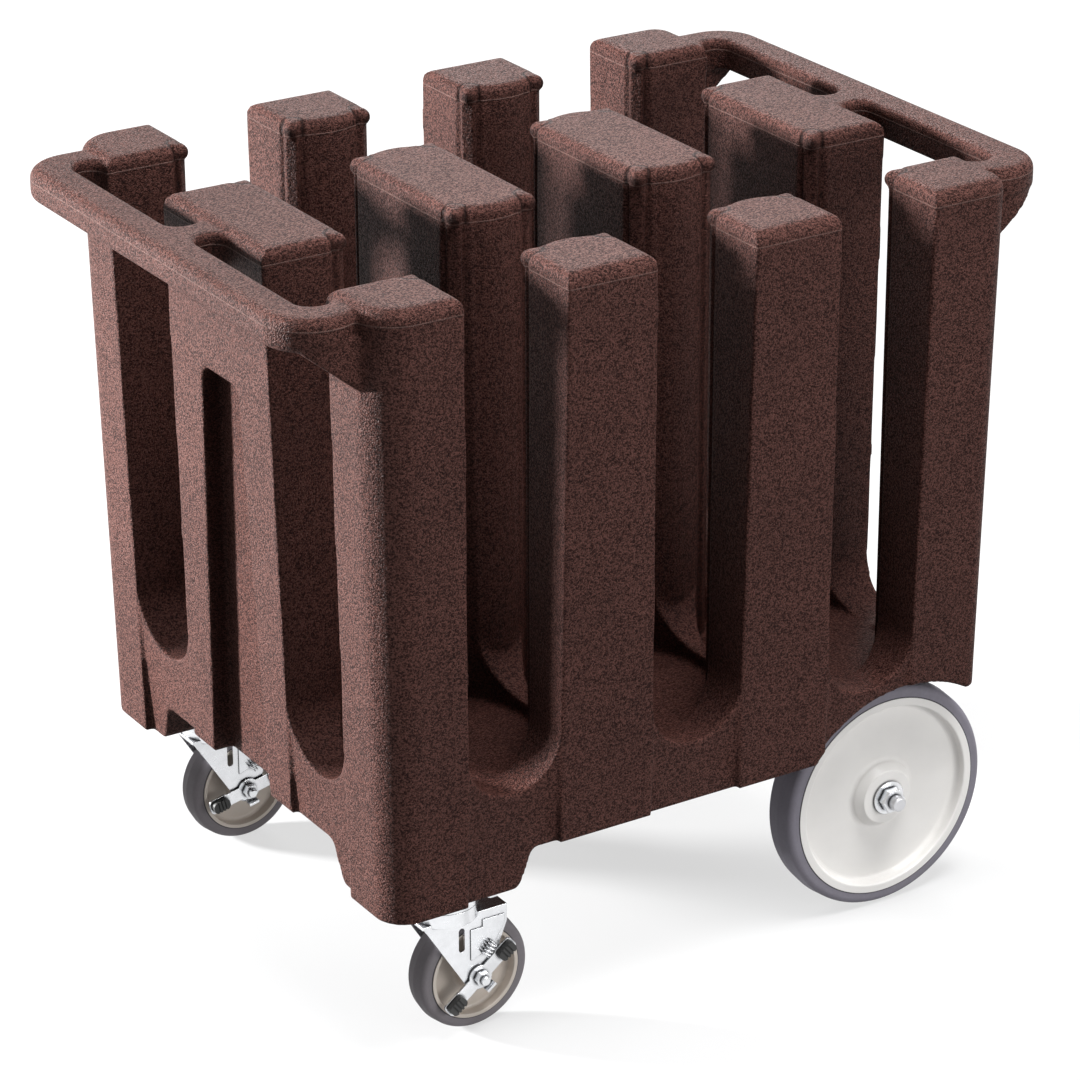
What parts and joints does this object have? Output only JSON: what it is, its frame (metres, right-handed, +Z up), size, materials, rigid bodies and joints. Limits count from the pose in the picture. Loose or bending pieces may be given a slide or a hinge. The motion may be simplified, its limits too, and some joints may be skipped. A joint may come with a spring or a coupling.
{
  "type": "dish caddy",
  "caption": "Dish caddy with slotted posts round deep wells for stacks of plates, push handles at both ends, large fixed wheels at one end and braked swivel casters at the other.",
  "frame": {"origin": "on the floor, under the middle of the overall plan of body and handles", "axes": "+X along the long side from the caster end to the wheel end, +Y to the left side seen from the caster end, +Z up"},
  "size_m": [0.886, 0.632, 0.812],
  "materials": {
    "body_plastic": "pebble-grained dark brown polyethylene",
    "wheel_core": "smooth off-white moulding",
    "caster_core": "smooth warm grey moulding",
    "grey_tread": "satin non-marking grey rubber",
    "zinc_steel": "bright zinc plate",
    "plain_steel": "plain drawn steel",
    "bearing_plastic": "smooth acetal",
    "black_rubber": "matt black",
    "brass": "machined"
  },
  "bodies": {
    "cart": {"body": "body_plastic", "caster_inserts": "brass", "caster_bolts": "zinc_steel", "axle_sleeves": "plain_steel", "top_plate_right": "zinc_steel", "top_plate_left": "zinc_steel", "kingpin_right": "zinc_steel", "kingpin_left": "zinc_steel", "swivel_balls_right": "plain_steel", "swivel_balls_left": "plain_steel", "rear_axle": "plain_steel", "axle_nuts": "zinc_steel", "outer_washers": "zinc_steel", "inner_washers": "plain_steel"},
    "swivel_right": {"fork_right": "zinc_steel", "caster_axle_right": "zinc_steel", "caster_nut_right": "zinc_steel", "spacer_sleeve_right": "plain_steel", "brake_spring_right": "plain_steel"},
    "caster_wheel_right": {"caster_core_right": "caster_core", "caster_tread_right": "grey_tread", "caster_bearing_right": "bearing_plastic"},
    "pedal_right": {"brake_pedal_right": "zinc_steel", "brake_pads_right": "black_rubber"},
    "wheel_right": {"wheel_core_right": "wheel_core", "wheel_tyre_right": "grey_tread", "wheel_bearing_right": "bearing_plastic"},
    "swivel_left": {"fork_left": "zinc_steel", "caster_axle_left": "zinc_steel", "caster_nut_left": "zinc_steel", "spacer_sleeve_left": "plain_steel", "brake_spring_left": "plain_steel"},
    "caster_wheel_left": {"caster_core_left": "caster_core", "caster_tread_left": "grey_tread", "caster_bearing_left": "bearing_plastic"},
    "pedal_left": {"brake_pedal_left": "zinc_steel", "brake_pads_left": "black_rubber"},
    "wheel_left": {"wheel_core_left": "wheel_core", "wheel_tyre_left": "grey_tread", "wheel_bearing_left": "bearing_plastic"}
  },
  "joints": [
    {"name": "swivel_turn_right", "type": "hinge", "parent": "cart", "child": "swivel_right", "pos_m": [-0.264, -0.244, 0.134], "axis": [0, 0, 1], "continuous": true},
    {"name": "caster_spin_right", "type": "hinge", "parent": "swivel_right", "child": "caster_wheel_right", "pos_m": [-0.236, -0.244, 0.0635], "axis": [0, 1, 0], "continuous": true},
    {"name": "brake_rock_right", "type": "hinge", "parent": "swivel_right", "child": "pedal_right", "pos_m": [-0.236, -0.244, 0.0635], "axis": [0, 1, 0], "range_deg": [0, 25]},
    {"name": "wheel_spin_right", "type": "hinge", "parent": "cart", "child": "wheel_right", "pos_m": [0.2685, -0.25, 0.127], "axis": [0, 1, 0], "continuous": true},
    {"name": "swivel_turn_left", "type": "hinge", "parent": "cart", "child": "swivel_left", "pos_m": [-0.264, 0.244, 0.134], "axis": [0, 0, 1], "continuous": true},
    {"name": "caster_spin_left", "type": "hinge", "parent": "swivel_left", "child": "caster_wheel_left", "pos_m": [-0.236, 0.244, 0.0635], "axis": [0, 1, 0], "continuous": true},
    {"name": "brake_rock_left", "type": "hinge", "parent": "swivel_left", "child": "pedal_left", "pos_m": [-0.236, 0.244, 0.0635], "axis": [0, 1, 0], "range_deg": [-25, 0]},
    {"name": "wheel_spin_left", "type": "hinge", "parent": "cart", "child": "wheel_left", "pos_m": [0.2685, 0.25, 0.127], "axis": [0, 1, 0], "continuous": true}
  ]
}
